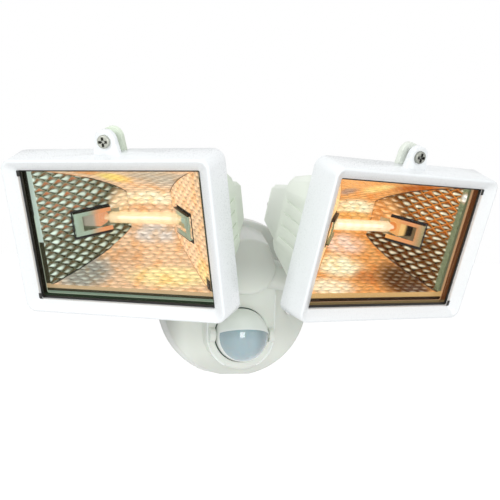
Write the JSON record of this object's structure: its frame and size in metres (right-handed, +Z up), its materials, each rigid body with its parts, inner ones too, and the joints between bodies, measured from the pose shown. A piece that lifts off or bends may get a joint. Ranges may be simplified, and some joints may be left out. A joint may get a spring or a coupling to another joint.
{
  "type": "motion sensor security light",
  "caption": "Outdoor security light: round wall base with a tilting motion sensor, and swivelling, tilting floodlight heads with hinged glass fronts and dimpled reflectors.",
  "frame": {"origin": "middle of the face that lies on the wall, on the cover's centre line", "axes": "X to the right as seen from the front, Y into the wall, Z up"},
  "size_m": [0.3489, 0.1824, 0.1805],
  "materials": {
    "cover_plastic": "smooth moulded, slight gloss",
    "plate_plastic": "moulded",
    "black_rubber": "matt",
    "plated_steel": "bright zinc plate",
    "board_laminate": "solder mask",
    "relay_plastic": "smooth",
    "block_plastic": "moulded",
    "lens_plastic": "translucent, segmented",
    "knob_plastic": "moulded",
    "head_paint": "powder coat, satin",
    "bezel_paint": "gloss paint",
    "reflector_sheet": "bright dimpled sheet",
    "bracket_steel": "plain sheet",
    "ceramic": "glazed ceramic",
    "lamp_glass": "clear quartz",
    "filament_wire": "wound wire",
    "contact_brass": "plain",
    "front_glass": "flat, clear, green edge"
  },
  "bodies": {
    "base": {"wall_plate": "plate_plastic", "base_cover": "cover_plastic", "cable_grommet": "black_rubber", "cover_screws": "plated_steel", "circuit_board": "board_laminate", "relay": "relay_plastic", "terminal_block": "block_plastic", "trimmers": "block_plastic"},
    "sensor": {"sensor_cap": "cover_plastic", "sensor_holder": "cover_plastic", "sensor_lens": "lens_plastic", "sensor_board": "board_laminate", "pyro_element": "plated_steel"},
    "time_adjuster": {"time_knob": "knob_plastic"},
    "dusk_adjuster": {"dusk_knob": "knob_plastic"},
    "left_swivel": {"left_pan_knuckle": "head_paint", "left_pan_bolt": "plated_steel"},
    "left_head": {"left_housing": "head_paint", "left_rear_cover": "head_paint", "left_rear_cover_screws": "plated_steel", "left_tilt_bolt": "plated_steel", "left_tilt_nut": "plated_steel", "left_hinge_pins": "plated_steel", "left_bezel_nut": "plated_steel", "left_reflector": "reflector_sheet", "left_lamp_holders": "ceramic", "left_lamp_brackets": "bracket_steel", "left_lamp_tube": "lamp_glass", "left_lamp_ends": "ceramic", "left_lamp_contacts": "contact_brass", "left_lead_terminal": "ceramic", "left_lamp_filament": "filament_wire"},
    "left_front": {"left_bezel": "bezel_paint", "left_bezel_screw": "plated_steel", "left_glass_pane": "front_glass", "left_glass_gasket": "black_rubber"},
    "right_swivel": {"right_pan_knuckle": "head_paint", "right_pan_bolt": "plated_steel"},
    "right_head": {"right_housing": "head_paint", "right_rear_cover": "head_paint", "right_rear_cover_screws": "plated_steel", "right_tilt_bolt": "plated_steel", "right_tilt_nut": "plated_steel", "right_hinge_pins": "plated_steel", "right_bezel_nut": "plated_steel", "right_reflector": "reflector_sheet", "right_lamp_holders": "ceramic", "right_lamp_brackets": "bracket_steel", "right_lamp_tube": "lamp_glass", "right_lamp_ends": "ceramic", "right_lamp_contacts": "contact_brass", "right_lead_terminal": "ceramic", "right_lamp_filament": "filament_wire"},
    "right_front": {"right_bezel": "bezel_paint", "right_bezel_screw": "plated_steel", "right_glass_pane": "front_glass", "right_glass_gasket": "black_rubber"}
  },
  "joints": [
    {"name": "sensor_tilt", "type": "hinge", "parent": "base", "child": "sensor", "pos_m": [0, -0.04, -0.024], "axis": [1, 0, 0], "range_deg": [-20, 25]},
    {"name": "time_turn", "type": "hinge", "parent": "base", "child": "time_adjuster", "pos_m": [-0.0065, -0.0116, -0.058], "axis": [0, 0, 1], "range_deg": [-135, 135]},
    {"name": "dusk_turn", "type": "hinge", "parent": "base", "child": "dusk_adjuster", "pos_m": [0.0065, -0.0116, -0.058], "axis": [0, 0, 1], "range_deg": [-135, 135]},
    {"name": "left_pan", "type": "hinge", "parent": "base", "child": "left_swivel", "pos_m": [-0.064, -0.058, 0.0273], "axis": [0, 0, 1], "range_deg": [-16, 7]},
    {"name": "left_tilt", "type": "hinge", "parent": "left_swivel", "child": "left_head", "pos_m": [-0.064, -0.058, 0.0465], "axis": [0.832, -0.5548, 0], "range_deg": [-25, 20]},
    {"name": "left_front_hinge", "type": "hinge", "parent": "left_head", "child": "left_front", "pos_m": [-0.08554, -0.09029, 0.00258], "axis": [0.832, -0.5548, 0], "range_deg": [0, 75]},
    {"name": "right_pan", "type": "hinge", "parent": "base", "child": "right_swivel", "pos_m": [0.064, -0.058, 0.0273], "axis": [0, 0, 1], "range_deg": [-1, 30]},
    {"name": "right_tilt", "type": "hinge", "parent": "right_swivel", "child": "right_head", "pos_m": [0.064, -0.058, 0.0465], "axis": [0.9438, 0.3305, 0], "range_deg": [-25, 20]},
    {"name": "right_front_hinge", "type": "hinge", "parent": "right_head", "child": "right_front", "pos_m": [0.07683, -0.09464, 0.00258], "axis": [0.9438, 0.3305, 0], "range_deg": [0, 75]}
  ]
}
